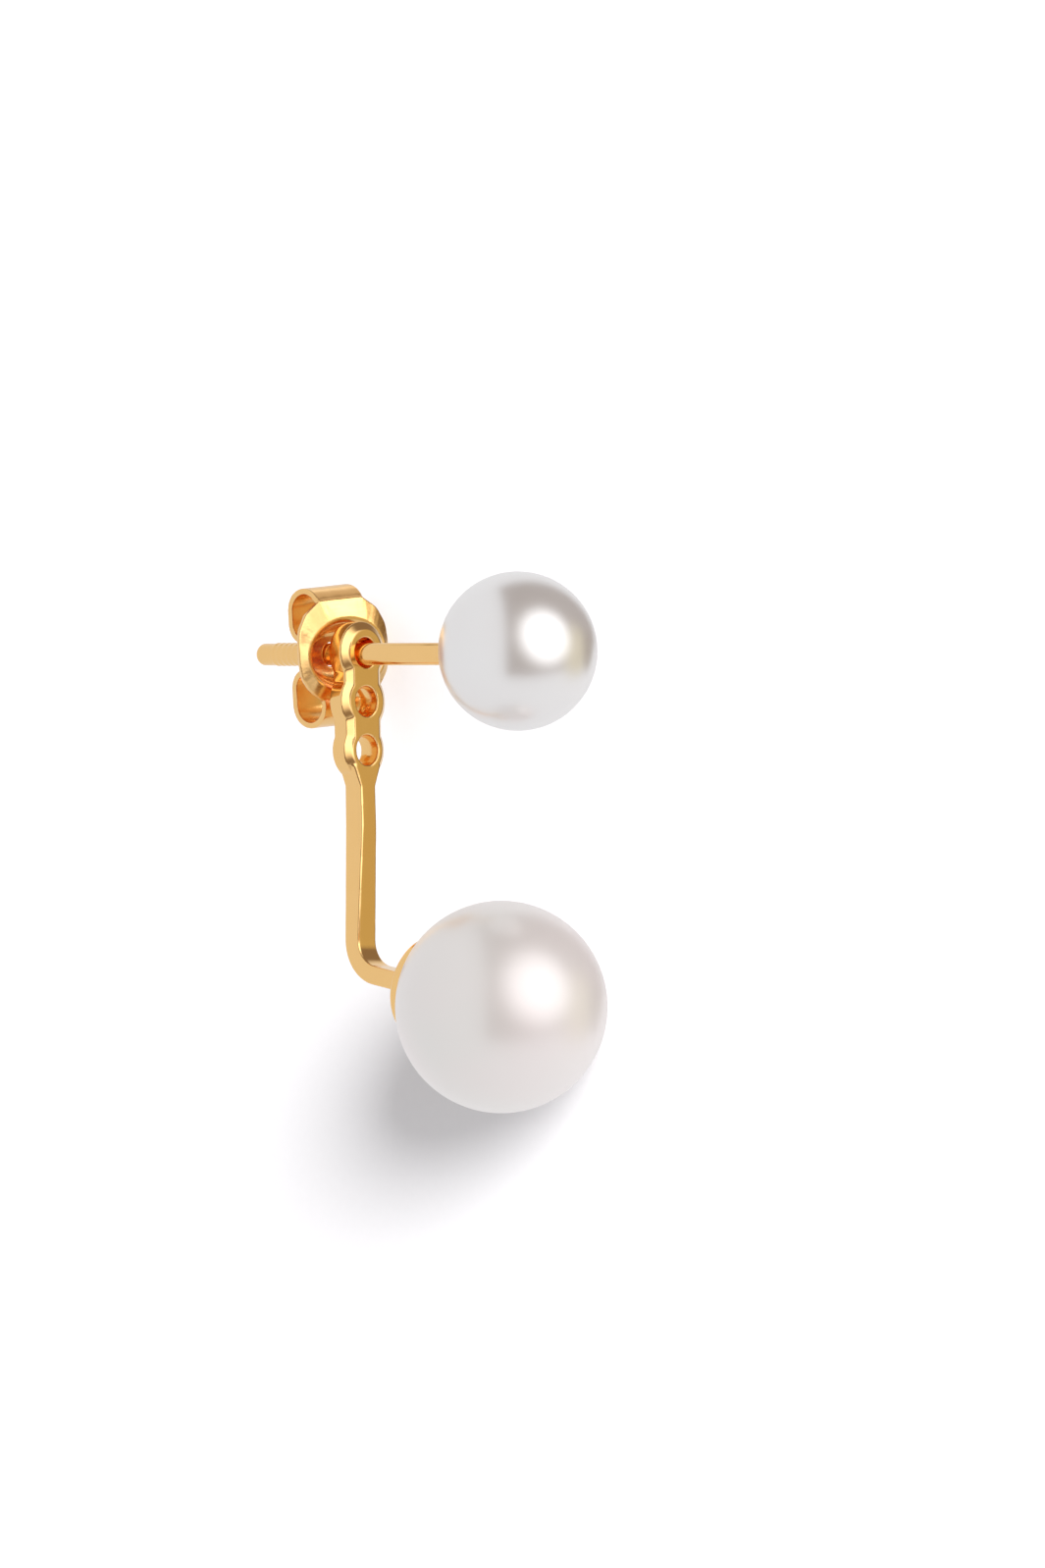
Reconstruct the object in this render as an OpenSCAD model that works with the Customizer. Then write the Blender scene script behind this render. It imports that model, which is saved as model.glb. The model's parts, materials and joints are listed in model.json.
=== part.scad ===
// Pearl stud earring with a hanging jacket, lying on its side as it rests when nobody wears it.
// The pieces are drawn in the post's own frame: x runs forward along the post, y up the ear and
// z to the side that faces up at rest. Its origin is on the post's axis, at the jacket's front face.

/* [Stud] */
// Diameter of the small pearl
stud_pearl_d = 6; // [5:0.1:7]
// Free post between the jacket's front face and the small pearl, where the ear lobe sits
lobe_space = 5; // [4.5:0.05:6]
// How far the small pearl's centre sits above the post's axis
stud_pearl_rise = 0.1; // [0:0.01:0.2]
// Diameter of the post
post_d = 0.84; // [0.7:0.01:0.9]
// Reach of the post behind the jacket's front face
post_back = 5.56; // [5.4:0.02:7]
// Rounding of the post's tip
tip_round = 0.3; // [0.1:0.02:0.34]
// Number of friction ribs round the post
rib_count = 7; // [3:1:8]
// Distance from one rib to the next
rib_pitch = 0.27; // [0.2:0.01:0.28]
// How far the ribs stand out of the post
rib_height = 0.025; // [0.01:0.005:0.04]
// Smooth post between the last rib and the tip
tip_smooth = 0.86; // [0.7:0.02:0.9]

/* [Pearl drilling] */
// Depth of the blind hole in each pearl
drill_depth = 2.4; // [1.5:0.1:2.8]
// Glue gap round a post or peg in its pearl
glue_gap = 0.03; // [0.02:0.01:0.06]
// Space between the large pearl's peg and the end of its hole
peg_space = 0.2; // [0.1:0.05:0.4]

/* [Jacket head] */
// Outer diameter of the top, middle and bottom ring
ring_d = [2.36, 2.38, 2.18]; // [2:0.02:2.5]
// Diameter of the hole in each ring
ring_hole_d = 1; // [0.96:0.01:1.1]
// Diameter to which each hole flares at the front
ring_mouth_d = 1.27; // [1.1:0.01:1.36]
// Distance from one ring's centre to the next
ring_pitch = 1.84; // [1.7:0.02:1.9]
// How far the top ring's centre sits above the post's axis
ring_rise = 0.05; // [0:0.01:0.05]
// Thickness of the rings
head_t = 0.86; // [0.7:0.02:1]
// Width of the web that joins the rings
web_w = 1.9; // [1.2:0.02:1.96]
// How far the web lies below the rings' faces, front and back
web_sink = 0.04; // [0.02:0.01:0.1]
// Rounding of the head's front edges
front_round = 0.25; // [0.1:0.01:0.3]
// Rounding of the head's back edges
back_round = 0.12; // [0.05:0.01:0.2]
// Chamfer at the back of each hole
hole_chamfer = 0.05; // [0.04:0.01:0.12]
// Angle at which the head leans back from the stem
head_lean = 1.4; // [0:0.5:3.5]

/* [Jacket stem] */
// Place of the stem's back face under the head, along the post
stem_back = -0.71; // [-0.8:0.01:-0.5]
// Thickness of the stem under the head, along the post
stem_top_t = 0.9; // [0.7:0.01:0.95]
// Width of the stem under the head
stem_top_w = 0.84; // [0.7:0.01:0.95]
// Place of the stem's back face at the bend
bend_back = -0.65; // [-0.8:0.01:-0.5]
// Thickness of the stem in the bend and along the arm
arm_t = 0.71; // [0.6:0.01:0.9]
// Width of the stem in the bend and along the arm
arm_w = 1.02; // [0.8:0.01:1.1]
// Rounding of the stem's edges
stem_round = 0.14; // [0.05:0.01:0.2]
// Height over which the lowest ring narrows into the stem
neck_h = 0.7; // [0.5:0.05:1]
// Width of the neck where it leaves the lowest ring
neck_w = 1.7; // [1.2:0.02:1.8]
// Radius of the bend along the middle of the wire
bend_r = 1.37; // [1.2:0.01:2]
// How steeply the arm falls towards the large pearl
arm_fall = 10.5; // [5:0.5:20]

/* [Large pearl and cup] */
// Diameter of the large pearl
jacket_pearl_d = 8; // [7:0.1:9]
// From the jacket's front face forward to the large pearl's centre
pearl_reach = 7.13; // [6.6:0.01:8]
// From the post's axis down to the large pearl's centre
pearl_drop = 13.29; // [12:0.02:15]
// Glue gap between the cup and its pearl
cup_gap = 0.02; // [0.02:0.01:0.05]
// Wall of the cup at its middle
cup_wall = 0.26; // [0.2:0.01:0.4]
// Outer diameter of the cup
cup_d = 4; // [3:0.1:5]
// How much wider the cup's mouth is than its back edge, on each side
cup_flare = 0.04; // [0:0.01:0.1]
// Radius of the cup's domed back
cup_dome_r = 7.5; // [6:0.1:12]
// Rounding between the cup's back and its side
cup_round = 0.2; // [0.1:0.01:0.3]
// Diameter of the peg in the large pearl
peg_d = 0.8; // [0.6:0.02:0.9]

/* [Butterfly back] */
// How far the butterfly's crest lies behind the rings' backs
crest_gap = 0.09; // [0.09:0.01:0.4]
// Half width of the plate
plate_half_w = 2.42; // [2.3:0.02:2.6]
// Reach of the plate's straight sides above the post's axis
side_rise = 0.95; // [0.8:0.05:1]
// Reach of the straight sides below the post's axis, no more than above it
side_drop = 0.85; // [0.7:0.05:0.9]
// Radius of the crest round either end of the oval dish
crest_r = 1.4; // [1.3:0.02:1.5]
// Half the length of the straight stretch between those ends
crest_flat = 0.7; // [0.4:0.05:0.8]
// Outer radius of the crest's section
crest_round = 0.3; // [0.26:0.01:0.36]
// Thickness of the stamped sheet
sheet_t = 0.2; // [0.16:0.01:0.24]
// Depth of the dish under the crest
dish_depth = 0.85; // [0.6:0.05:0.9]
// Radius of the dish's flat floor at either end
floor_r = 0.6; // [0.55:0.01:0.7]
// Angle at which the plate falls back from the crest to its edge
rim_slope = 22; // [10:1:28]
// Clearance between the post's ribs and the butterfly
grip_gap = 0.055; // [0.04:0.005:0.08]
// Width of the strips that are rolled into scrolls
strip_w = 2.4; // [2:0.05:2.6]
// Thickness of the strips
strip_t = 0.22; // [0.18:0.01:0.26]
// Size of each scroll along the post
scroll_d = 1.73; // [1.6:0.01:1.9]
// How far the scrolls reach behind the jacket's front face
scroll_back = 2.83; // [2.7:0.01:2.9]
// Height of the upper scroll's top above the post's axis
upper_scroll = 2.58; // [2.4:0.02:2.8]
// Depth of the lower scroll's foot under the post's axis
lower_scroll = 2.72; // [2.4:0.02:2.9]
// Height at which the upper scroll leaves the plate
upper_lip = 1.95; // [1.9:0.05:2]
// Depth at which the lower scroll leaves the plate
lower_lip = 1.6; // [1.5:0.05:1.65]
// Radius at which the strips turn in to the post
tuck_r = 0.75; // [0.6:0.01:0.85]

/* [Hidden] */
gold = "goldenrod";
nacre = "whitesmoke";
$fn = 96;
// Steps in a quarter turn of a small rounding, and of a wide arc
ROUND_STEPS = 5;
ARC_STEPS = 10;
// Steps in the profile of a rib, an even number
RIB_STEPS = 6;
// A sliver by which cutters run past the faces they cut
PAST = 0.2;
// Overlap by which the lengths of one wire run into each other
SEAM = 0.02;
// Chamfer on the post's end inside the small pearl
NOSE = 0.1;
// Angle from which the crest's section bends, and at which a strip's end turns in to the post
CREST_FROM = 200;
TUCK_TO = 280;
// Radius at which the plate's slope ends, past the corners of its outline
RIM_R = 2.8;

post_r = post_d / 2;
stud_r = stud_pearl_d / 2;
jacket_r = jacket_pearl_d / 2;
rib_r = post_r + rib_height;

// The small pearl's centre along the post, and the post's end inside it
stud_x = lobe_space + stud_r;
post_front = lobe_space + drill_depth - glue_gap;
rib_start = -post_back + tip_smooth + rib_count * rib_pitch;

// The jacket's head
head_back = -head_t;
ring_y = [for (i = [0:2]) ring_rise - i * ring_pitch];
neck_top = ring_y[2] - sqrt(pow(ring_d[2] / 2, 2) - pow(neck_w / 2, 2));
neck_foot = neck_top - neck_h;

// The bend ends on the line through the large pearl's centre along which the arm runs
pearl_at = [pearl_reach, -pearl_drop];
bend_turn = 90 - arm_fall;
arm_mid_x = bend_back + arm_t / 2;
bend_end_x = arm_mid_x + bend_r * (1 - cos(bend_turn));
bend_end_y = pearl_at.y + (pearl_at.x - bend_end_x) * tan(arm_fall);
bend_start_y = bend_end_y + bend_r * sin(bend_turn);
arm_start = -(pearl_at.x - bend_end_x) / cos(arm_fall);
cup_in_r = jacket_r + cup_gap;
cup_mid_r = cup_in_r + cup_wall / 2;
cup_mouth_r = cup_d / 2 + cup_flare;
dome_mid = [0, cup_dome_r - cup_in_r - cup_wall];
dome_turn = asin((cup_d / 2 - cup_round) / (cup_dome_r - cup_round));

// The butterfly, behind the jacket: crest, arch of sheet, dish and rim
crest_x = head_back - crest_gap;
arch_x = crest_x - crest_round;
dish_x = crest_x - dish_depth;
back_hole_r = rib_r + grip_gap;
scroll_r = scroll_d / 2;
scroll_x = scroll_r - scroll_back;
// Where the plate's front face and the underside of the sheet lie, at a distance from the dish's middle line
function slope_x(r) = arch_x + (crest_round - (r - crest_r) * sin(rim_slope)) / cos(rim_slope);
function under_x(r) = slope_x(r) - sheet_t / cos(rim_slope);

// Outline of the plate, right half from the top edge down: half width, height
plate_right = [
    [1.1, 2.12],
    [1.72, 1.8],
    [2.14, 1.4],
    [plate_half_w, side_rise],
    [plate_half_w, -side_drop],
    [2.16, -1.16],
    [1.84, -1.42],
    [1.24, -1.72],
];

// At rest the small pearl, the back edge of the plate's side and the large pearl touch the floor. The
// edge lies furthest back at its top end, because the plate falls back all round the crest.
// The first two set how far the post's front end is raised, and the third how far the jacket turns.
side_corner_x = under_x(norm([plate_half_w - crest_flat, side_rise]));
stance = stud_x - side_corner_x;
post_lift = asin(stud_r / norm([stance, plate_half_w])) - atan2(plate_half_w, stance);
axis_height = stud_r - stud_x * sin(post_lift);
jacket_turn = asin((jacket_r - axis_height - pearl_at.x * sin(post_lift)) / (pearl_drop * cos(post_lift)));

// Middle of the resting object's box, so that the origin is under its centre
pearl_side_x = pearl_at.x * cos(post_lift) - pearl_drop * sin(jacket_turn) * sin(post_lift);
front_x = max(pearl_side_x + jacket_r, stud_x * cos(post_lift) + stud_r);
tip_corner = [-post_back + tip_round, post_r - tip_round];
tip_x = tip_corner.x * cos(post_lift) - tip_corner.y * sin(post_lift) - tip_round;
top_y = stud_pearl_rise + stud_r;
foot_y = -pearl_drop * cos(jacket_turn) - jacket_r;
middle = [(front_x + tip_x) / 2, (top_y + foot_y) / 2];

// Points along an arc, from one angle to the other
function arc(centre, r, from, to, steps) =
    [for (i = [0:steps]) let (a = from + (to - from) * i / steps) centre + r * [cos(a), sin(a)]];

// Outline of a rectangle with rounded corners, centred
function rounded_rect(w, h, r) =
    [for (k = [0:3])
        let (sx = k == 0 || k == 3 ? 1 : -1, sy = k < 2 ? 1 : -1)
        each arc([sx * (w / 2 - r), sy * (h / 2 - r)], r, k * 90, k * 90 + 90, ROUND_STEPS)];

// Lays what is drawn in the post's frame on the floor
module at_rest()
    translate([-middle.x, -middle.y, axis_height])
        rotate([0, -post_lift, 0])
            children();

// The same for what hangs on the post and is turned round it until its pearl touches the floor
module jacket_at_rest()
    at_rest()
        rotate([-jacket_turn, 0, 0])
            children();

// Leans the head back about the middle of its top ring
module leaning()
    translate([head_back / 2, ring_y[0], 0])
        rotate([0, 0, head_lean])
            translate([-head_back / 2, -ring_y[0], 0])
                children();

// Turns a shape that is drawn round z so that it lies round x
module along_x()
    rotate([0, 90, 0])
        children();

// A bar along x, t thick in y and w wide in z
module bar(length, t, w, r)
    along_x()
        linear_extrude(length)
            polygon(rounded_rect(w, t, r));

module stud_pearl()
    at_rest()
        color(nacre)
            difference() {
                translate([stud_x, stud_pearl_rise, 0])
                    sphere(stud_r);
                translate([lobe_space - PAST, 0, 0])
                    along_x()
                        cylinder(h = drill_depth + PAST, r = post_r + glue_gap);
            }

module ear_post() {
    // Each rib swells and sinks again in a smooth wave
    ribs = [for (i = [0:RIB_STEPS * rib_count]) let (turn = i / RIB_STEPS)
        [post_r + rib_height * (1 - cos(360 * turn)) / 2, rib_start - turn * rib_pitch]];
    tip = arc([post_r - tip_round, -post_back + tip_round], tip_round, 0, -90, ROUND_STEPS);
    nose = [[0, post_front], [post_r - NOSE, post_front], [post_r, post_front - NOSE]];
    at_rest()
        color(gold)
            along_x()
                rotate_extrude()
                    polygon(concat([[0, -post_back]], nose, ribs, tip));
}

// One ring of the head, as a solid disc with rounded edges
module ring_disc(r) {
    front = arc([r - front_round, -front_round], front_round, 90, 0, ROUND_STEPS);
    back = arc([r - back_round, head_back + back_round], back_round, 0, -90, ROUND_STEPS);
    along_x()
        rotate_extrude()
            polygon(concat([[0, 0]], front, back, [[0, head_back]]));
}

// Cutter for the flare at a hole's mouth, in a face that looks along x
module mouth_flare(r, depth)
    translate([-depth, 0, 0])
        along_x()
            cylinder(h = 2 * depth, r1 = r, r2 = r + 2 * depth);

// Hole through a ring, flared at the front and chamfered at the back
module ring_hole() {
    r = ring_hole_d / 2;
    translate([head_back - PAST, 0, 0])
        along_x()
            cylinder(h = head_t + 2 * PAST, r = r);
    mouth_flare(r, ring_mouth_d / 2 - r);
    translate([head_back, 0, 0])
        mirror([1, 0, 0])
            mouth_flare(r, hole_chamfer);
}

module jacket_head()
    difference() {
        union() {
            leaning() {
                for (i = [0:2])
                    translate([0, ring_y[i], 0])
                        ring_disc(ring_d[i] / 2);
                translate([head_back / 2, ring_y[0], 0])
                    rotate([0, 0, -90])
                        bar(ring_y[0] - ring_y[2], head_t - 2 * web_sink, web_w, front_round);
            }
            hull() {
                leaning()
                    translate([head_back / 2, neck_top, 0])
                        rotate([0, 0, -90])
                            bar(SEAM, head_t - 2 * web_sink, neck_w, front_round);
                translate([stem_back + stem_top_t / 2, neck_foot, 0])
                    rotate([0, 0, -90])
                        bar(SEAM, stem_top_t, stem_top_w, stem_round);
            }
        }
        leaning()
            for (y = ring_y)
                translate([0, y, 0])
                    ring_hole();
    }

module jacket_stem()
    hull() {
        translate([stem_back + stem_top_t / 2, neck_foot + SEAM, 0])
            rotate([0, 0, -90])
                bar(SEAM, stem_top_t, stem_top_w, stem_round);
        translate([arm_mid_x, bend_start_y, 0])
            rotate([0, 0, -90])
                bar(SEAM, arm_t, arm_w, stem_round);
    }

module jacket_bend()
    translate([arm_mid_x + bend_r, bend_start_y, 0])
        rotate([0, 0, 180])
            rotate_extrude(angle = bend_turn)
                translate([bend_r, 0])
                    polygon(rounded_rect(arm_t, arm_w, stem_round));

// The arm, cup and peg, drawn from the large pearl's centre with the arm along x
module jacket_arm() {
    back = arc(dome_mid, cup_dome_r, -90, dome_turn - 90, ARC_STEPS);
    edge_mid = dome_mid + (cup_dome_r - cup_round) * [sin(dome_turn), -cos(dome_turn)];
    edge = arc(edge_mid, cup_round, dome_turn - 90, 0, ROUND_STEPS);
    inside = arc([0, 0], cup_in_r, asin(cup_mouth_r / cup_in_r) - 90, -90, ARC_STEPS);
    translate([arm_start - SEAM, 0, 0])
        bar(SEAM - arm_start - cup_mid_r, arm_t, arm_w, stem_round);
    along_x()
        rotate_extrude()
            polygon(concat(back, edge, inside));
    translate([-cup_mid_r, 0, 0])
        along_x()
            cylinder(h = cup_mid_r - jacket_r + drill_depth - peg_space, r = peg_d / 2);
}

module ear_jacket()
    jacket_at_rest()
        color(gold) {
            jacket_head();
            jacket_stem();
            jacket_bend();
            translate([pearl_at.x, pearl_at.y, 0])
                rotate([0, 0, -arm_fall])
                    jacket_arm();
        }

module jacket_pearl()
    jacket_at_rest()
        color(nacre)
            translate([pearl_at.x, pearl_at.y, 0])
                rotate([0, 0, -arm_fall])
                    difference() {
                        sphere(jacket_r);
                        translate([-jacket_r - PAST, 0, 0])
                            along_x()
                                cylinder(h = drill_depth + PAST, r = peg_d / 2 + glue_gap);
                    }

// Half of the plate's section: distance from the dish's middle line, and place along the post
plate_section = concat(
    [[0, dish_x - sheet_t], [0, dish_x], [floor_r, dish_x]],
    arc([crest_r, arch_x], crest_round, CREST_FROM, 90 - rim_slope, ARC_STEPS),
    [[RIM_R, slope_x(RIM_R)], [RIM_R, under_x(RIM_R)]],
    arc([crest_r, arch_x], crest_round - sheet_t, 90 - rim_slope, CREST_FROM, ARC_STEPS),
    [[floor_r, dish_x - sheet_t]]);

// Stamped plate before it is cut to outline: an oval dish, the crest round it and the slope outside that
module stamped_sheet() {
    linear_extrude(2 * crest_flat, center = true)
        for (side = [-1, 1])
            polygon([for (p = plate_section) [p.y, side * p.x]]);
    for (side = [-1, 1])
        translate([0, 0, side * crest_flat])
            along_x()
                rotate([0, 0, side * 90])
                    rotate_extrude(angle = 180)
                        polygon(plate_section);
}

module butterfly_plate()
    difference() {
        intersection() {
            stamped_sheet();
            along_x()
                translate([0, 0, -2 * RIM_R])
                    linear_extrude(2 * RIM_R)
                        polygon(concat([for (p = plate_right) [p.x, p.y]],
                            [for (i = [len(plate_right) - 1:-1:0]) [-plate_right[i].x, plate_right[i].y]]));
        }
        translate([dish_x - sheet_t - PAST, 0, 0])
            along_x()
                cylinder(h = sheet_t + 2 * PAST, r = back_hole_r);
    }

// One strip rolled back from the plate's edge and in to the post, from lip to end
module scroll(reach, lip) {
    turn = [scroll_x, reach - scroll_r];
    tuck = [scroll_x - scroll_r + tuck_r, back_hole_r + tuck_r];
    from = asin((lip - turn.y) / scroll_r);
    linear_extrude(strip_w, center = true)
        polygon(concat(
            arc(turn, scroll_r, from, 180, ARC_STEPS),
            arc(tuck, tuck_r, 180, TUCK_TO, ARC_STEPS),
            arc(tuck, tuck_r - strip_t, TUCK_TO, 180, ARC_STEPS),
            arc(turn, scroll_r - strip_t, 180, from, ARC_STEPS)));
}

module butterfly_back()
    at_rest()
        color(gold) {
            butterfly_plate();
            scroll(upper_scroll, upper_lip);
            mirror([0, 1, 0])
                scroll(lower_scroll, lower_lip);
        }

stud_pearl();
ear_post();
ear_jacket();
jacket_pearl();
butterfly_back();
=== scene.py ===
"""A pearl stud earring with a hanging jacket, lying on its side on a pale floor."""

import json
from math import asin, atan2, cos, hypot, pi, radians, sin, sqrt, tan

import bmesh
import bpy
from mathutils import Matrix, Vector


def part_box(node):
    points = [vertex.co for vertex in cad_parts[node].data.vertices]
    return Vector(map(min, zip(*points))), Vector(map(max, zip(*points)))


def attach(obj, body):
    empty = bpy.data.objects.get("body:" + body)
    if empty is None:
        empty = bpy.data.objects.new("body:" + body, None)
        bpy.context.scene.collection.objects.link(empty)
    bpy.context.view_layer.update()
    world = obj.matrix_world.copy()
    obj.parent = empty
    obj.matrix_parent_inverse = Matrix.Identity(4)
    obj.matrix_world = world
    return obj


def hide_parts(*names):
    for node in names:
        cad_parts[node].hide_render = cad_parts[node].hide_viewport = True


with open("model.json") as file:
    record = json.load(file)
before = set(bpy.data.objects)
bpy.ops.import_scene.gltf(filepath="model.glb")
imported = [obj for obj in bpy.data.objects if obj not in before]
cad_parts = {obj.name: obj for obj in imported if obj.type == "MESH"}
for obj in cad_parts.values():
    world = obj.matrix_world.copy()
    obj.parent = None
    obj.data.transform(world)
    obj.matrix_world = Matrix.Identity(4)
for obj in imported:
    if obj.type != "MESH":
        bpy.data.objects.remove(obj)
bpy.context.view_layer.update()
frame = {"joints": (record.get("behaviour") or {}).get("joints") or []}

# Sizes in millimetres, in the frame in which the earring is worn: x runs forward along the post,
# y up the ear and z to the side that faces up at rest. The origin is on the post's axis, at the
# jacket's front face. Names end in R for a radius, T for a thickness, W for a width, H for a height
# and D for a depth. STEPS and SIDES are how many straight pieces a curve is drawn with.

# Stud: pearl, post and its friction ribs
STUD_PEARL_R = 3.0
STUD_PEARL_AT = (8.0, 0.1)
LOBE_SPACE = 5.0
POST_R = 0.42
POST_BACK = 5.56
POST_SIDES = 96
NOSE_CUT = 0.1
TIP_ROUND = 0.3
TIP_SMOOTH = 0.86
TIP_STEPS = 12
RIBS = 7
RIB_PITCH = 0.27
RIB_HEIGHT = 0.025
RIB_STEPS = 8
DRILL_DEPTH = 2.4
DRILL_CUT_R = 0.05
DRILL_CUT_DEPTH = 0.04
GLUE_GAP = 0.03
PEARL_STEPS = 96

# Jacket head: three rings in a row, on a web
RING_R = (1.18, 1.19, 1.09)
RING_HOLE_R = 0.5
RING_MOUTH_R = 0.58
LIP = 0.03
LIP_TURN = -80  # degrees
LIP_STEPS = 4
FLARE_DEPTH = 0.55
RING_Y = (0.05, -1.79, -3.63)
HEAD_T = 0.86
BEVEL_W = 0.3
BEVEL_D = 0.21
BEVEL_SOFT = 0.1
BEVEL_STEPS = 5
BACK_ROUND = 0.12
BACK_STEPS = 6
WEB_STEPS = 4
WEB_W = 1.9
HOLE_CHAMFER = 0.03
HEAD_LEAN = radians(1.4)

# Jacket wire: neck, stem, bend and arm
NECK_FOOT_X = -0.3
NECK_FOOT_T = 0.86
NECK_EASE = 1.5
NECK_W = 1.5
NECK_H = 0.8
STEM_MID_X = -0.26
STEM_TOP_T = 0.9
STEM_TOP_W = 0.84
ARM_MID_X = -0.295
ARM_T = 0.71
ARM_W = 1.02
WIRE_ROUND = 0.14
WIRE_STEPS = 6
BEND_R = 1.37
BEND_STEPS = 24
ARM_FALL = radians(10.5)

# Large pearl, its cup and peg
JACKET_PEARL_R = 4.0
JACKET_PEARL_AT = Vector((7.13, -13.29, 0))
CUP_IN_R = 4.02
CUP_WALL = 0.26
CUP_R = 2.0
CUP_FLARE = 0.04
CUP_DOME_R = 7.5
CUP_ROUND = 0.2
DOME_STEPS = 12
CUP_EDGE_STEPS = 8
SEAT_STEPS = 24
PEG_R = 0.4
PEG_SPACE = 0.2

# Butterfly back. Its plate's corners on one side, from the top edge down, as (z, y):
PLATE_CORNERS = ((1.13, 2.13), (1.92, 1.66), (2.34, 1.02), (2.42, 0.4),
                 (2.42, -0.25), (2.3, -0.8), (1.88, -1.34), (1.24, -1.72))
CORNER_CUT = 0.2
CORNER_STEPS = 4
RIM_X = -1.17
CREST_X = -0.97
SHEET_T = 0.2
# Half the dish's width and height
DISH_W = 2.1
DISH_H = 1.42
DISH_SIDES = 96
# Section of the dish from its edge inward, as (distance from the edge, depth under the crest):
DISH_SECTION = ((0.08, 0.01), (0.17, 0.04), (0.25, 0.1), (0.31, 0.19), (0.35, 0.3), (0.38, 0.42),
                (0.42, 0.55), (0.48, 0.67), (0.58, 0.77), (0.72, 0.83), (0.82, 0.84))
BACK_HOLE_R = 0.465
STRIP_W = 2.4
STRIP_T = 0.22
SCROLL_R = 0.865
SCROLL_STEPS = 40
SCROLL_BACK = 2.83
UPPER_SCROLL = 2.58
UPPER_LIP = 1.95
LOWER_SCROLL = 2.72
LOWER_LIP = 1.6
TUCK_R = 0.75
TUCK_END = 280  # degrees
TUCK_STEPS = 20

# Photograph: its size and the worn frame's origin, in pixels, its scale and its direction
PHOTO_W = 1065
PHOTO_H = 1598
ORIGIN_PX = (373.0, 666.7)
PX_PER_MM = 27.0
VIEW_TURN = radians(45.8)
LENS = 1000.0
SENSOR = 36.0

MM = 0.001
# How near is the same place, and how far a cutter goes past a face
TINY = 1e-4
PAST = 0.1
TURNED_SIDES = 144
CAST_VOXEL = 0.039
SHEET_VOXEL = 0.034
SMOOTHING = 2

# Colours
GOLD_LIGHT = (0.94, 0.60, 0.25, 1)
GOLD_DEEP = (0.92, 0.58, 0.23, 1)
SHEET_GOLD_DEEP = (0.91, 0.56, 0.22, 1)
NACRE_WHITE = (0.88, 0.88, 0.88, 1)
NACRE_ROSE = (0.86, 0.83, 0.82, 1)
NACRE_GREEN = (0.81, 0.82, 0.79, 1)
NACRE_BLUSH = (0.90, 0.81, 0.81, 1)
PAPER_LIGHT = (0.66, 0.655, 0.67, 1)
PAPER_DEEP = (0.64, 0.635, 0.65, 1)
WHITE = (1, 1, 1, 1)

# Studio. Directions are given along the photograph's axes: to the right, up and towards the camera.
WALLS = (0.86, 0.86, 0.87, 1)
BOX = (0.28, 0.22, 0.18, 1)
# Sides of the darker box: the axis across each, where the box starts along it and where it is full
BOX_SIDES = (((1, 0, 0), -0.33, -0.23), ((0, 1, 0.4), -0.32, -0.2), ((0.4, -0.3, 1), -0.8, -0.5))
# Two warm cards and the window: direction, angle that each fills, angle where it ends, and light
PATCHES = (((1, 0, -0.08), 12, 32, (0.62, 0.53, 0.3, 1)),
           ((0.86, 0, -0.55), 6, 18, (0.2, 0.13, 0.06, 1)),
           ((0.639, 0.343, 0.686), 12, 48, (2.1, 2.1, 2.1, 1)))
GLINT_FROM = (0.93, 0.36, -0.09)
STRIP_GLINT_FROM = (0.45, 0.7, -0.55)
# The lamp that throws the shadow: its angle round the vertical, and over the floor
SHADOW_AROUND = radians(27)
SHADOW_RISE = radians(28)
FLOOR_R = 0.5
FLOOR_SIDES = 128


def worn_frames():
    """Where the worn frame lies at rest: for what is on the post, and for what hangs on it."""
    swing = next(j for j in frame["joints"] if j["name"] == "jacket_swing")
    forward = Vector(swing["axis"]).normalized()
    up = Vector((0, 1, 0))
    turn = Matrix((forward, up, forward.cross(up))).transposed().to_4x4()
    post = Matrix.Translation(swing["pos_m"]) @ turn @ Matrix.Scale(MM, 4)
    low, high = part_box("jacket_pearl")
    hung = post.inverted() @ ((low + high) / 2)
    return post, post @ Matrix.Rotation(-atan2(hung.z, -hung.y), 4, "X")


POST_FRAME, JACKET_FRAME = worn_frames()
# Where the large pearl and its cup are in the worn frame
ON_ARM = Matrix.Translation(JACKET_PEARL_AT) @ Matrix.Rotation(-ARM_FALL, 4, "Z")


# Modelling by hand


def activate(piece):
    """Selects this piece alone."""
    bpy.ops.object.select_all(action="DESELECT")
    piece.select_set(True)
    bpy.context.view_layer.objects.active = piece


def added(name):
    """Names the primitive that was just added, and puts its place in its mesh."""
    piece = bpy.context.active_object
    piece.name = piece.data.name = name
    bpy.ops.object.transform_apply(location=True, rotation=True, scale=True)
    return piece


def pick_edges(piece, test):
    """Selects the edges that pass the test, in edit mode."""
    bpy.ops.mesh.select_mode(type="EDGE")
    bpy.ops.mesh.select_all(action="DESELECT")
    mesh = bmesh.from_edit_mesh(piece.data)
    for edge in mesh.edges:
        edge.select_set(test(edge.verts[0].co, edge.verts[1].co))
    bmesh.update_edit_mesh(piece.data)


def spread(start, end, steps):
    """Evenly spaced values from start to end."""
    return [start + (end - start) * i / steps for i in range(steps + 1)]


def arc(centre, r, start, end, steps):
    """Points along an arc, with the angles in degrees."""
    angles = [radians(a) for a in spread(start, end, steps)]
    return [(centre[0] + r * cos(a), centre[1] + r * sin(a)) for a in angles]


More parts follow.
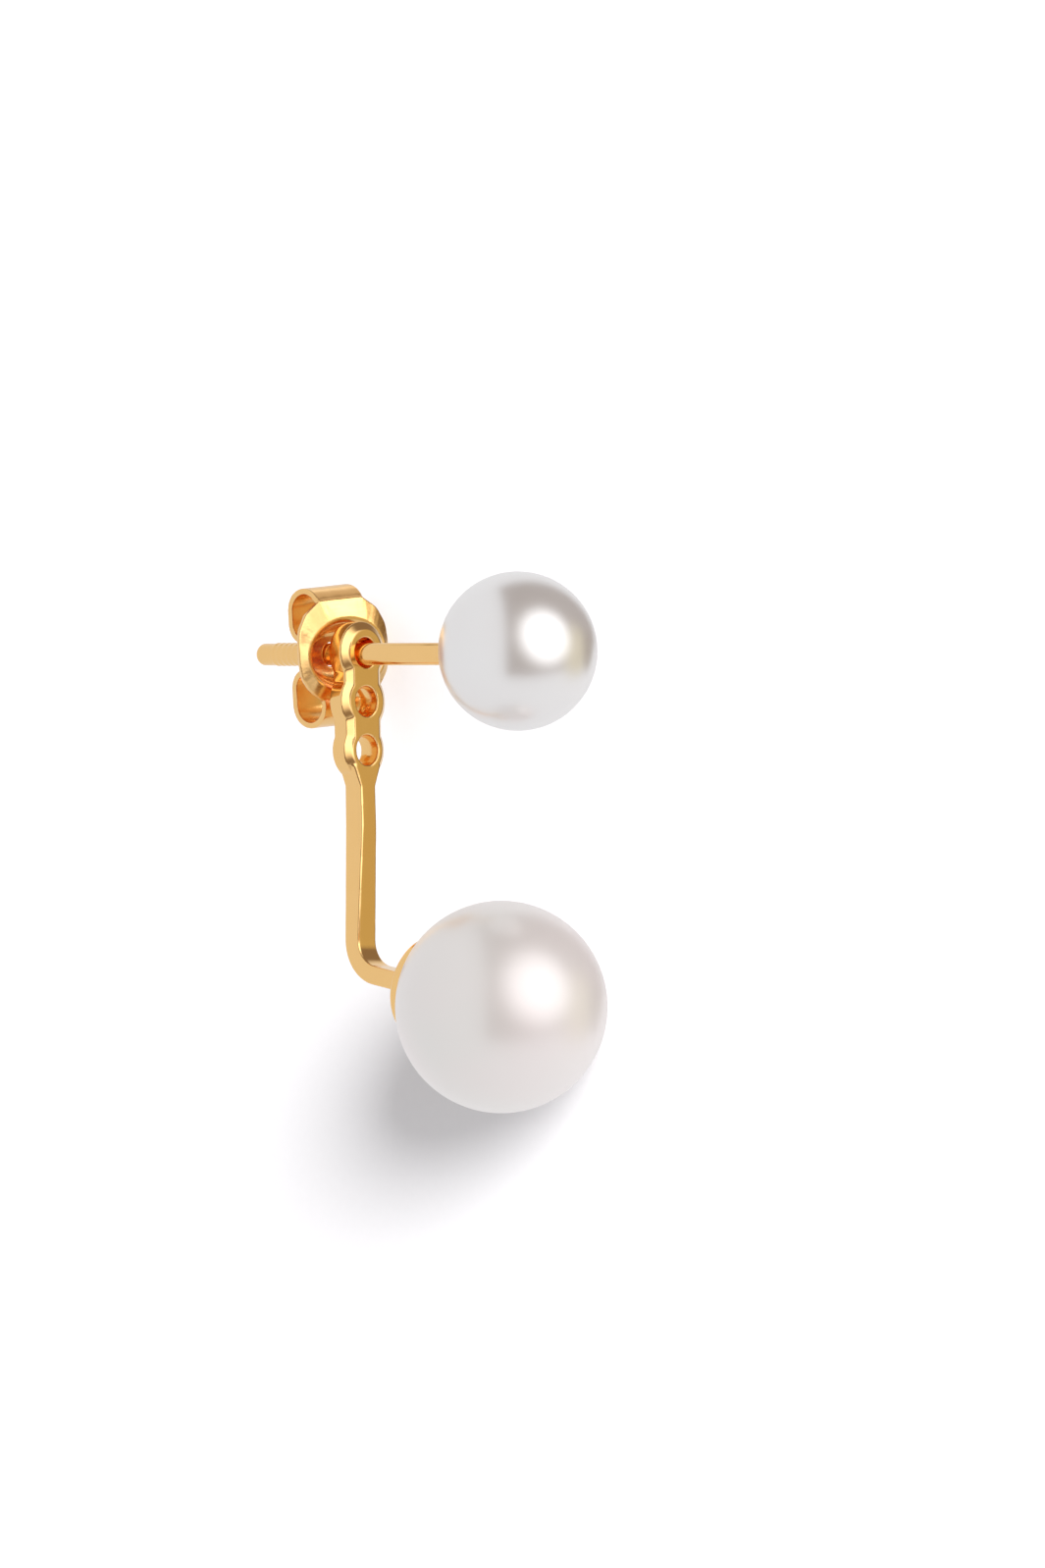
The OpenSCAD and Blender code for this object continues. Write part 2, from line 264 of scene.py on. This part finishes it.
def draw_line(name, points):
    """Draws a line in the xy plane, vertex by vertex, and stays in edit mode."""
    bpy.ops.object.select_all(action="DESELECT")
    bpy.ops.mesh.primitive_plane_add(size=1, location=(*points[0], 0))
    line = added(name)
    bpy.ops.object.mode_set(mode="EDIT")
    bpy.ops.mesh.select_mode(type="VERT")
    bpy.ops.mesh.select_all(action="SELECT")
    bpy.ops.mesh.merge(type="CENTER")
    for a, b in zip(points, points[1:]):
        step = (b[0] - a[0], b[1] - a[1], 0)
        bpy.ops.mesh.extrude_vertices_move(TRANSFORM_OT_translate={"value": step})
    return line


def face_outwards(piece):
    """Turns the faces of a closed shell outwards."""
    activate(piece)
    bpy.ops.object.mode_set(mode="EDIT")
    bpy.ops.mesh.select_all(action="SELECT")
    bpy.ops.mesh.remove_doubles(threshold=TINY)
    bpy.ops.mesh.normals_make_consistent(inside=False)
    bpy.ops.object.mode_set(mode="OBJECT")


def turned(name, profile, sides=TURNED_SIDES):
    """Spins a profile, given as places along the x axis and radii, into a turned piece."""
    piece = draw_line(name, profile)
    bpy.ops.mesh.select_all(action="SELECT")
    bpy.ops.mesh.spin(steps=sides, angle=2 * pi, center=(0, 0, 0), axis=(1, 0, 0))
    bpy.ops.object.mode_set(mode="OBJECT")
    face_outwards(piece)
    return piece


def modify(piece, kind, **settings):
    """Adds a modifier with these settings and applies it."""
    activate(piece)
    modifier = piece.modifiers.new(kind.title(), kind)
    for key, value in settings.items():
        setattr(modifier, key, value)
    bpy.ops.object.modifier_apply(modifier=modifier.name)


def placed(piece, matrix):
    """Moves a piece by a matrix, into its mesh."""
    activate(piece)
    piece.matrix_world = matrix @ piece.matrix_world
    bpy.ops.object.transform_apply(location=True, rotation=True, scale=True)
    return piece


def copied(piece):
    """A copy of a piece, with its own mesh."""
    activate(piece)
    bpy.ops.object.duplicate()
    return bpy.context.active_object


def joined(name, parts):
    """Joins parts into one piece."""
    activate(parts[0])
    for part in parts:
        part.select_set(True)
    bpy.ops.object.join()
    parts[0].name = parts[0].data.name = name
    return parts[0]


def melted(piece, voxel):
    """Makes crossing shells one skin with soft fillets, as solder and polishing leave them."""
    modify(piece, "REMESH", mode="VOXEL", voxel_size=voxel)
    modify(piece, "SMOOTH", factor=0.5, iterations=SMOOTHING)
    return piece


def finished(piece, matrix, body, node, finish):
    """Gives a piece its place at rest, its body and its finish, and hides the solid that it stands
    for.
    """
    placed(piece, matrix)
    bpy.ops.object.shade_smooth()
    piece.data.materials.clear()
    piece.data.materials.append(finish)
    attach(piece, body)
    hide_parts(node)


# Finishes


class Value:
    """A number or colour that changes from place to place. Operators add the Math nodes."""

    def __init__(self, tree, socket):
        self.tree = tree
        self.socket = socket

    def maths(self, operation, a, b):
        """What a Math node makes of two values."""
        node = self.tree.nodes.new("ShaderNodeMath")
        node.operation = operation
        feed(self.tree, node.inputs[0], a)
        feed(self.tree, node.inputs[1], b)
        return Value(self.tree, node.outputs[0])

    def __add__(self, other):
        return self.maths("ADD", self, other)

    def __radd__(self, other):
        return self.maths("ADD", other, self)

    def __mul__(self, other):
        return self.maths("MULTIPLY", self, other)

    def __rmul__(self, other):
        return self.maths("MULTIPLY", other, self)


def feed(tree, socket, value):
    """Links a worked-out value to a socket, or sets a plain one on it."""
    if isinstance(value, Value):
        tree.links.new(value.socket, socket)
    else:
        socket.default_value = value


class Nodes:
    """The nodes of a finish or of the studio."""

    def __init__(self, tree):
        self.tree = tree

    def node(self, kind, sockets, output=0, **settings):
        """Adds a node with its settings, then its sockets' values or links."""
        node = self.tree.nodes.new(kind)
        for key, value in settings.items():
            setattr(node, key, value)
        for key, value in sockets.items():
            feed(self.tree, node.inputs[key], value)
        return Value(self.tree, node.outputs[output])

    def smooth_step(self, value, low, high):
        """Rises softly from 0 to 1 while the value goes from low to high."""
        sockets = {"Value": value, "From Min": low, "From Max": high}
        return self.node("ShaderNodeMapRange", sockets, interpolation_type="SMOOTHSTEP")

    def blend(self, share, a, b):
        """A colour between a and b. The Mix node's sockets for colours go by number."""
        return self.node("ShaderNodeMix", {0: share, 6: a, 7: b}, output=2, data_type="RGBA")


class Finish(Nodes):
    """A material that is put together from nodes."""

    def __init__(self, name):
        self.material = bpy.data.materials.new(name)
        self.material.use_nodes = True
        super().__init__(self.material.node_tree)
        self.shader = next(n for n in self.tree.nodes if n.type == "BSDF_PRINCIPLED")

    def place(self, **mapping):
        """Places on the object, in millimetres."""
        coordinates = self.node("ShaderNodeTexCoord", {}, output="Object")
        sockets = {"Vector": coordinates, "Scale": (1 / MM,) * 3, **mapping}
        return self.node("ShaderNodeMapping", sockets)

    def noise(self, place, per_mm, detail=2.0, roughness=0.5):
        """Cloudy noise from 0 to 1, with this many features in a millimetre."""
        sockets = {"Vector": place, "Scale": per_mm, "Detail": detail, "Roughness": roughness}
        return self.node("ShaderNodeTexNoise", sockets)

    def relief(self, height, distance_mm):
        """Surface relief of this depth, in millimetres."""
        sockets = {"Height": height, "Distance": distance_mm * MM, "Strength": 1.0}
        return self.node("ShaderNodeBump", sockets)

    def shade(self, **sockets):
        """Sets the shader's sockets, with spaces for underscores."""
        for key, value in sockets.items():
            feed(self.tree, self.shader.inputs[key.replace("_", " ")], value)
        return self.material


def polished_gold():
    """Polished yellow gold plate, with the slow waves and fine hairlines that polishing leaves."""
    gold = Finish("polished_gold")
    place = gold.place()
    waves = gold.noise(place, per_mm=1.1, detail=1.0)
    hairlines = gold.noise(place, per_mm=14.0, detail=4.0, roughness=0.6)
    return gold.shade(Base_Color=gold.blend(waves, GOLD_LIGHT, GOLD_DEEP), Metallic=1.0,
                      Roughness=0.08 + 0.1 * hairlines,
                      Normal=gold.relief(waves + 0.02 * hairlines, distance_mm=0.02))


def rolled_gold():
    """Gold plate on rolled sheet: satin, with fine lines across the strip."""
    gold = Finish("rolled_gold")
    place = gold.place()
    waves = gold.noise(place, per_mm=1.4, detail=1.0)
    stretched = gold.place(Scale=(14 / MM, 14 / MM, 0.5 / MM))
    lines = gold.noise(stretched, per_mm=1.0, detail=3.0)
    return gold.shade(Base_Color=gold.blend(waves, GOLD_LIGHT, SHEET_GOLD_DEEP), Metallic=1.0,
                      Roughness=0.14 + 0.18 * lines,
                      Normal=gold.relief(waves + 0.1 * lines, distance_mm=0.02))


def nacre(name, lustre, roughness, tint_a, tint_b, per_mm):
    """Pearl: a white body under a soft lustre, with faint clouds of another tint."""
    skin = Finish(name)
    clouds = skin.noise(skin.place(), per_mm, detail=1.0)
    return skin.shade(Base_Color=skin.blend(clouds, tint_a, tint_b), Metallic=lustre,
                      Roughness=roughness + 0.06 * clouds, IOR=1.6,
                      Coat_Weight=0.15, Coat_Roughness=0.1, Coat_IOR=1.6)


def pale_floor():
    """Matt white paper."""
    paper = Finish("white_paper")
    fibre = paper.noise(paper.place(), per_mm=3.0, detail=4.0)
    return paper.shade(Base_Color=paper.blend(fibre, PAPER_DEEP, PAPER_LIGHT), Roughness=1.0,
                       Specular_IOR_Level=0.0, Emission_Color=WHITE, Emission_Strength=0.02)


# Pieces


def post():
    """The post: a blunt nose in the small pearl, shallow friction ribs and a rounded tip."""
    nose = LOBE_SPACE + DRILL_DEPTH - GLUE_GAP
    ribs_end = -POST_BACK + TIP_SMOOTH
    ribs_start = ribs_end + RIBS * RIB_PITCH
    ribs = []
    for along in spread(0, RIBS, RIBS * RIB_STEPS):
        rise = RIB_HEIGHT * 0.5 * (1 - cos(2 * pi * along))
        ribs.append((ribs_start - along * RIB_PITCH, POST_R + rise))
    tip_mid = (-POST_BACK + TIP_ROUND, POST_R - TIP_ROUND)
    profile = [(nose, 0), (nose, POST_R - NOSE_CUT), (nose - NOSE_CUT, POST_R), *ribs,
               *arc(tip_mid, TIP_ROUND, 90, 180, TIP_STEPS), (-POST_BACK, 0)]
    return turned("post_gold", profile, sides=POST_SIDES)


def pearl(name, radius, hole_r):
    """A drilled pearl round the origin. Its hole opens towards -x and has a softened edge."""
    mouth = asin((hole_r + DRILL_CUT_R) / radius)
    skin = [(-radius * cos(a), radius * sin(a)) for a in spread(mouth, pi, PEARL_STEPS)]
    edge = -sqrt(radius**2 - hole_r**2) + DRILL_CUT_DEPTH
    end = -radius + DRILL_DEPTH
    return turned(name, [(end, 0), (end, hole_r), (edge, hole_r), *skin])


def ring_disc(y, r):
    """One ring of the head, uncut: a broad bevel in front, a small rounding behind."""
    slope = atan2(BEVEL_D, BEVEL_W)
    bend_mid = (-BEVEL_SOFT, r - BEVEL_W - BEVEL_SOFT * tan(slope / 2))
    bend = arc(bend_mid, BEVEL_SOFT, 0, slope * 180 / pi, BEVEL_STEPS)
    back = arc((-HEAD_T + BACK_ROUND, r - BACK_ROUND), BACK_ROUND, 90, 180, BACK_STEPS)
    disc = turned("ring_disc", [(0, 0), *bend, (-BEVEL_D, r), *back, (-HEAD_T, 0)])
    return placed(disc, Matrix.Translation((0, y, 0)))


def ring_web():
    """The web that joins the rings, with the same bevel along its sides."""
    deeper = BEVEL_W / BEVEL_D
    bpy.ops.object.select_all(action="DESELECT")
    size = (HEAD_T * deeper, RING_Y[0] - RING_Y[2], WEB_W)
    bpy.ops.mesh.primitive_cube_add(size=1, scale=size)
    web = added("ring_web")
    bpy.ops.object.mode_set(mode="EDIT")
    pick_edges(web, lambda a, b: abs(a.y - b.y) > TINY and a.x > 0)
    bpy.ops.mesh.bevel(offset=BEVEL_W, segments=1, affect="EDGES")
    pick_edges(web, lambda a, b: abs(a.y - b.y) > TINY and max(a.x, b.x) < 0)
    bpy.ops.mesh.bevel(offset=BACK_ROUND, segments=WEB_STEPS, affect="EDGES")
    bpy.ops.object.mode_set(mode="OBJECT")
    middle = Matrix.Translation((-HEAD_T / 2, (RING_Y[0] + RING_Y[2]) / 2, 0))
    return placed(web, middle @ Matrix.Diagonal((1 / deeper, 1, 1, 1)))


def hole_cutters():
    """Cutter for the rings' holes, each with a lip in front, a flare and a chamfer at the back."""
    profile = [(PAST, 0), (PAST, RING_MOUTH_R + PAST + LIP),
               *arc((-LIP, RING_MOUTH_R + LIP), LIP, 0, LIP_TURN, LIP_STEPS),
               (-FLARE_DEPTH, RING_HOLE_R), (-HEAD_T + HOLE_CHAMFER, RING_HOLE_R),
               (-HEAD_T - PAST, RING_HOLE_R + HOLE_CHAMFER + PAST), (-HEAD_T - PAST, 0)]
    first = turned("hole_cutter", profile)
    holes = [first, copied(first), copied(first)]
    for hole, y in zip(holes, RING_Y):
        placed(hole, Matrix.Translation((0, y, 0)))
    return joined("hole_cutters", holes)


def jacket_wire():
    """Neck, stem, bend and arm: one section that is drawn from the lowest ring to the cup."""
    neck_top = RING_Y[2] - RING_HOLE_R - HOLE_CHAMFER - LIP
    neck_top_x = -HEAD_T / 2 + (RING_Y[0] - neck_top) * sin(HEAD_LEAN)
    neck_foot = neck_top - NECK_H
    bend_turn = pi / 2 - ARM_FALL
    bend_end_x = ARM_MID_X + BEND_R * (1 - cos(bend_turn))
    bend_end_y = JACKET_PEARL_AT.y + (JACKET_PEARL_AT.x - bend_end_x) * tan(ARM_FALL)
    bend_start_y = bend_end_y + BEND_R * sin(bend_turn)
    arm = (JACKET_PEARL_AT.x - bend_end_x) / cos(ARM_FALL) - CUP_IN_R - CUP_WALL / 2
    bpy.ops.object.select_all(action="DESELECT")
    bpy.ops.mesh.primitive_plane_add(size=1, rotation=(pi / 2, 0, 0))
    start = Matrix.Translation((neck_top_x, neck_top, 0))
    wire = placed(added("jacket_wire"), start @ Matrix.Diagonal((HEAD_T, 1, NECK_W, 1)))
    bpy.ops.object.mode_set(mode="EDIT")
    bpy.ops.mesh.select_mode(type="VERT")
    bpy.ops.mesh.select_all(action="SELECT")
    bpy.ops.mesh.bevel(offset=WIRE_ROUND, segments=WIRE_STEPS, affect="VERTICES")
    # Middle of each next section, and how many times as thick and wide it is as the one before
    stations = [(NECK_FOOT_X, neck_foot, NECK_FOOT_T / HEAD_T, STEM_TOP_W / NECK_W),
                (STEM_MID_X, neck_foot - NECK_EASE, STEM_TOP_T / NECK_FOOT_T, 1),
                (ARM_MID_X, bend_start_y, ARM_T / STEM_TOP_T, ARM_W / STEM_TOP_W)]
    at = (neck_top_x, neck_top)
    for x, y, thicker, wider in stations:
        step = (x - at[0], y - at[1], 0)
        bpy.ops.mesh.extrude_region_move(TRANSFORM_OT_translate={"value": step})
        bpy.ops.transform.resize(value=(thicker, 1, wider), center_override=(x, y, 0))
        at = (x, y)
    bend_mid = (ARM_MID_X + BEND_R, bend_start_y, 0)
    bpy.ops.mesh.spin(steps=BEND_STEPS, angle=-bend_turn, center=bend_mid, axis=(0, 0, 1))
    run = (arm * cos(ARM_FALL), -arm * sin(ARM_FALL), 0)
    bpy.ops.mesh.extrude_region_move(TRANSFORM_OT_translate={"value": run})
    bpy.ops.object.mode_set(mode="OBJECT")
    face_outwards(wire)
    return wire


def pearl_cup():
    """The cup behind the large pearl, with a domed back, and the peg that the pearl is glued on."""
    dome_mid = CUP_DOME_R - CUP_IN_R - CUP_WALL
    dome_turn = asin((CUP_R - CUP_ROUND) / (CUP_DOME_R - CUP_ROUND))
    rim = asin((CUP_R + CUP_FLARE) / CUP_IN_R)
    back = [(dome_mid - CUP_DOME_R * cos(a), CUP_DOME_R * sin(a))
            for a in spread(0, dome_turn, DOME_STEPS)]
    edge_mid = (dome_mid - (CUP_DOME_R - CUP_ROUND) * cos(dome_turn), CUP_R - CUP_ROUND)
    edge = arc(edge_mid, CUP_ROUND, 180 - dome_turn * 180 / pi, 90, CUP_EDGE_STEPS)
    peg = asin(PEG_R / CUP_IN_R)
    seat = [(-CUP_IN_R * cos(a), CUP_IN_R * sin(a)) for a in spread(rim, peg, SEAT_STEPS)]
    peg_end = -JACKET_PEARL_R + DRILL_DEPTH - PEG_SPACE
    cup = turned("pearl_cup", [*back, *edge[1:], *seat, (peg_end, PEG_R), (peg_end, 0)])
    return placed(cup, ON_ARM)


def ear_jacket():
    """The jacket: head, wire and cup, soldered into one."""
    cutter = hole_cutters()
    head = [ring_disc(y, r) for y, r in zip(RING_Y, RING_R)] + [ring_web()]
    for part in head:
        modify(part, "BOOLEAN", operation="DIFFERENCE", object=cutter, solver="EXACT")
    bpy.data.objects.remove(cutter)
    pivot = Matrix.Translation((-HEAD_T / 2, RING_Y[0], 0))
    lean = pivot @ Matrix.Rotation(HEAD_LEAN, 4, "Z") @ pivot.inverted()
    head = placed(joined("jacket_head", head), lean)
    return melted(joined("ear_jacket_gold", [head, jacket_wire(), pearl_cup()]), CAST_VOXEL)


def plate_rim(x):
    """The plate's outline, with rounded corners."""
    other_side = [(-z, y) for z, y in reversed(PLATE_CORNERS)]
    corners = [Vector(c) for c in [*PLATE_CORNERS, *other_side]]
    points = []
    befores = corners[-1:] + corners[:-1]
    afters = corners[1:] + corners[:1]
    for before, corner, after in zip(befores, corners, afters):
        start = corner + CORNER_CUT * (before - corner).normalized()
        end = corner + CORNER_CUT * (after - corner).normalized()
        points += [start.lerp(corner, t).lerp(corner.lerp(end, t), t)
                   for t in spread(0, 1, CORNER_STEPS)]
    loop = draw_line("plate_rim", [*points, points[0]])
    bpy.ops.mesh.select_all(action="SELECT")
    bpy.ops.mesh.remove_doubles(threshold=TINY)
    bpy.ops.object.mode_set(mode="OBJECT")
    return placed(loop, Matrix.Translation((x, 0, 0)) @ Matrix.Rotation(-pi / 2, 4, "Y"))


def butterfly_plate():
    """The stamped plate: a slope that rises from its outline to a crest, and an oval dish in it."""
    bpy.ops.object.select_all(action="DESELECT")
    bpy.ops.mesh.primitive_circle_add(vertices=DISH_SIDES, radius=1, rotation=(0, pi / 2, 0))
    oval = Matrix.Translation((CREST_X, 0, 0)) @ Matrix.Diagonal((1, DISH_H, DISH_W, 1))
    dish = placed(added("dish_edge"), oval)
    plate = joined("butterfly_plate", [dish, plate_rim(RIM_X)])

    def outness(place):
        """How far from the middle a place is. The dish's edge is at 1."""
        return hypot(place.y / DISH_H, place.z / DISH_W)

    bpy.ops.object.mode_set(mode="EDIT")
    pick_edges(plate, lambda a, b: outness(a) < 1 + TINY and a.x > CREST_X - TINY)
    size = (DISH_W, DISH_H)
    depth = 0
    for inward, down in DISH_SECTION:
        smaller = (DISH_W - inward, DISH_H - inward)
        bpy.ops.mesh.extrude_edges_move(TRANSFORM_OT_translate={"value": (depth - down, 0, 0)})
        bpy.ops.transform.resize(value=(1, smaller[1] / size[1], smaller[0] / size[0]),
                                 center_override=(CREST_X - down, 0, 0))
        size, depth = smaller, down
    bpy.ops.mesh.extrude_edges_move()
    bpy.ops.transform.resize(value=(1, BACK_HOLE_R / size[1], BACK_HOLE_R / size[0]),
                             center_override=(CREST_X - depth, 0, 0))
    pick_edges(plate, lambda a, b: min(outness(a), outness(b)) > 1 - TINY)
    bpy.ops.mesh.bridge_edge_loops()
    bpy.ops.mesh.select_all(action="SELECT")
    bpy.ops.mesh.normals_make_consistent(inside=False)
    bpy.ops.object.mode_set(mode="OBJECT")
    forward = sum(face.normal.x * face.area for face in plate.data.polygons)
    inwards = -1.0 if forward > 0 else 1.0
    modify(plate, "SOLIDIFY", thickness=SHEET_T, offset=inwards, use_even_offset=True)
    return plate


def scroll(reach, lip, side):
    """A strip that is rolled from the plate's edge in to the post, above (side 1) or below (-1)."""
    turn = (SCROLL_R - SCROLL_BACK, reach - SCROLL_R)
    tuck = (TUCK_R - SCROLL_BACK, BACK_HOLE_R + TUCK_R)
    start = asin((lip - turn[1]) / SCROLL_R) * 180 / pi
    middle = arc(turn, SCROLL_R - STRIP_T / 2, start, 180, SCROLL_STEPS)
    middle += arc(tuck, TUCK_R - STRIP_T / 2, 180, TUCK_END, TUCK_STEPS)
    strip = draw_line("scroll", [(x, side * y) for x, y in middle])
    bpy.ops.mesh.select_all(action="SELECT")
    bpy.ops.mesh.extrude_region_move(TRANSFORM_OT_translate={"value": (0, 0, STRIP_W)})
    bpy.ops.object.mode_set(mode="OBJECT")
    placed(strip, Matrix.Translation((0, 0, -STRIP_W / 2)))
    modify(strip, "SOLIDIFY", thickness=STRIP_T, offset=0.0, use_even_offset=True)
    return strip


def butterfly_back():
    """The butterfly back: one sheet, stamped and rolled."""
    plate = butterfly_plate()
    upper = scroll(UPPER_SCROLL, UPPER_LIP, 1)
    lower = scroll(LOWER_SCROLL, LOWER_LIP, -1)
    back = joined("butterfly_gold", [plate, upper, lower])
    face_outwards(back)
    return melted(back, SHEET_VOXEL)


def make_earring():
    """Makes the five pieces, and returns the two that lamps are meant for."""
    gold = polished_gold()
    cool = nacre("cool_nacre", lustre=0.68, roughness=0.27, tint_a=NACRE_WHITE, tint_b=NACRE_ROSE,
                 per_mm=0.25)
    warm = nacre("warm_nacre", lustre=0.36, roughness=0.33, tint_a=NACRE_GREEN, tint_b=NACRE_BLUSH,
                 per_mm=0.22)
    small = pearl("small_pearl", STUD_PEARL_R, POST_R + GLUE_GAP)
    small_at = Matrix.Translation((*STUD_PEARL_AT, 0))
    finished(small, POST_FRAME @ small_at, "stud", "stud_pearl", cool)
    finished(post(), POST_FRAME, "stud", "ear_post", gold)
    finished(ear_jacket(), JACKET_FRAME, "jacket", "ear_jacket", gold)
    large = pearl("large_pearl", JACKET_PEARL_R, PEG_R + GLUE_GAP)
    finished(large, JACKET_FRAME @ ON_ARM, "jacket", "jacket_pearl", warm)
    butterfly = butterfly_back()
    finished(butterfly, POST_FRAME, "butterfly", "butterfly_back", rolled_gold())
    return large, butterfly


# Stage


def view_axes():
    """The photograph's axes at rest: to the right, up and towards the camera."""
    worn = JACKET_FRAME.to_3x3().normalized()
    right = worn @ Vector((sin(VIEW_TURN), 0, -cos(VIEW_TURN)))
    toward = worn @ Vector((cos(VIEW_TURN), 0, sin(VIEW_TURN)))
    return right, worn @ Vector((0, 1, 0)), toward


RIGHT, UP, TOWARD = view_axes()


def along_view(towards):
    """A direction that is given along the photograph's axes."""
    return (towards[0] * RIGHT + towards[1] * UP + towards[2] * TOWARD).normalized()


def add_camera():
    """A long lens that frames the earring as the photograph does."""
    aside = (PHOTO_W / 2 - ORIGIN_PX[0]) / PX_PER_MM * MM
    below = (PHOTO_H / 2 - ORIGIN_PX[1]) / PX_PER_MM * MM
    aim = JACKET_FRAME.translation + aside * RIGHT - below * UP
    distance = PHOTO_H / PX_PER_MM * MM * LENS / SENSOR
    camera = bpy.data.objects.new("camera", bpy.data.cameras.new("camera"))
    camera.data.lens = LENS
    camera.data.sensor_width = SENSOR
    camera.data.clip_start = distance / 10
    camera.data.clip_end = distance * 10
    turn = Matrix((RIGHT, UP, TOWARD)).transposed().to_4x4()
    camera.matrix_world = Matrix.Translation(aim + distance * TOWARD) @ turn
    bpy.context.scene.collection.objects.link(camera)
    bpy.context.scene.camera = camera


def group(name, piece):
    """A collection with this piece alone, for a lamp to light or to be shaded by."""
    collection = bpy.data.collections.new(name)
    collection.objects.link(piece)
    return collection


def add_lamp(name, direction, energy, angle, lit, shading):
    """A soft lamp far off in this direction, that lights one piece and is shaded by one."""
    lamp = bpy.data.lights.new(name, "SUN")
    lamp.energy = energy
    lamp.angle = radians(angle)
    stand = bpy.data.objects.new(name, lamp)
    stand.rotation_mode = "QUATERNION"
    stand.rotation_quaternion = (-direction).to_track_quat("-Z", "Y")
    stand.light_linking.receiver_collection = group(name + "_lit", lit)
    stand.light_linking.blocker_collection = group(name + "_shading", shading)
    bpy.context.scene.collection.objects.link(stand)


def add_lamps(floor, large, butterfly):
    """A lamp on the paper, for the large pearl's shadow, and two that glint on the butterfly."""
    level = cos(SHADOW_RISE)
    low = Vector((level * cos(SHADOW_AROUND), level * sin(SHADOW_AROUND), sin(SHADOW_RISE)))
    add_lamp("shadow_lamp", low, energy=6.5, angle=32, lit=floor, shading=large)
    add_lamp("glint_lamp", along_view(GLINT_FROM), energy=0.26, angle=20, lit=butterfly,
             shading=butterfly)
    add_lamp("strip_lamp", along_view(STRIP_GLINT_FROM), energy=0.16, angle=40, lit=butterfly,
             shading=butterfly)


def add_world():
    """White studio walls, and to the right a darker box with two warm cards and a round window."""
    world = bpy.data.worlds.new("studio")
    world.use_nodes = True
    studio = Nodes(world.node_tree)
    direction = studio.node("ShaderNodeTexCoord", {}, output="Generated")

    def rise(axis, low, high):
        """Rises from 0 to 1 while the place along this axis goes from low to high."""
        sockets = {0: direction, 1: tuple(along_view(axis))}
        along = studio.node("ShaderNodeVectorMath", sockets, output="Value",
                            operation="DOT_PRODUCT")
        return studio.smooth_step(along, low, high)

    left, below, behind = [rise(*side) for side in BOX_SIDES]
    light = studio.blend(left * below * behind, WALLS, BOX)
    for towards, inner, outer, glow in PATCHES:
        patch = rise(towards, cos(radians(outer)), cos(radians(inner)))
        light = studio.blend(patch, light, glow)
    feed(world.node_tree, world.node_tree.nodes["Background"].inputs["Color"], light)
    bpy.context.scene.world = world


def add_floor():
    """Pale paper that the metal doesn't mirror."""
    bpy.ops.object.select_all(action="DESELECT")
    bpy.ops.mesh.primitive_circle_add(vertices=FLOOR_SIDES, radius=FLOOR_R, fill_type="NGON")
    floor = added("floor")
    floor.data.materials.append(pale_floor())
    floor.visible_glossy = False
    return floor


pieces = make_earring()
add_camera()
add_world()
add_lamps(add_floor(), *pieces)
# Colours as they are, and bounces enough for the light between the metal's faces
bpy.context.scene.view_settings.view_transform = "Standard"
bpy.context.scene.cycles.glossy_bounces = 12
bpy.context.scene.cycles.max_bounces = 16
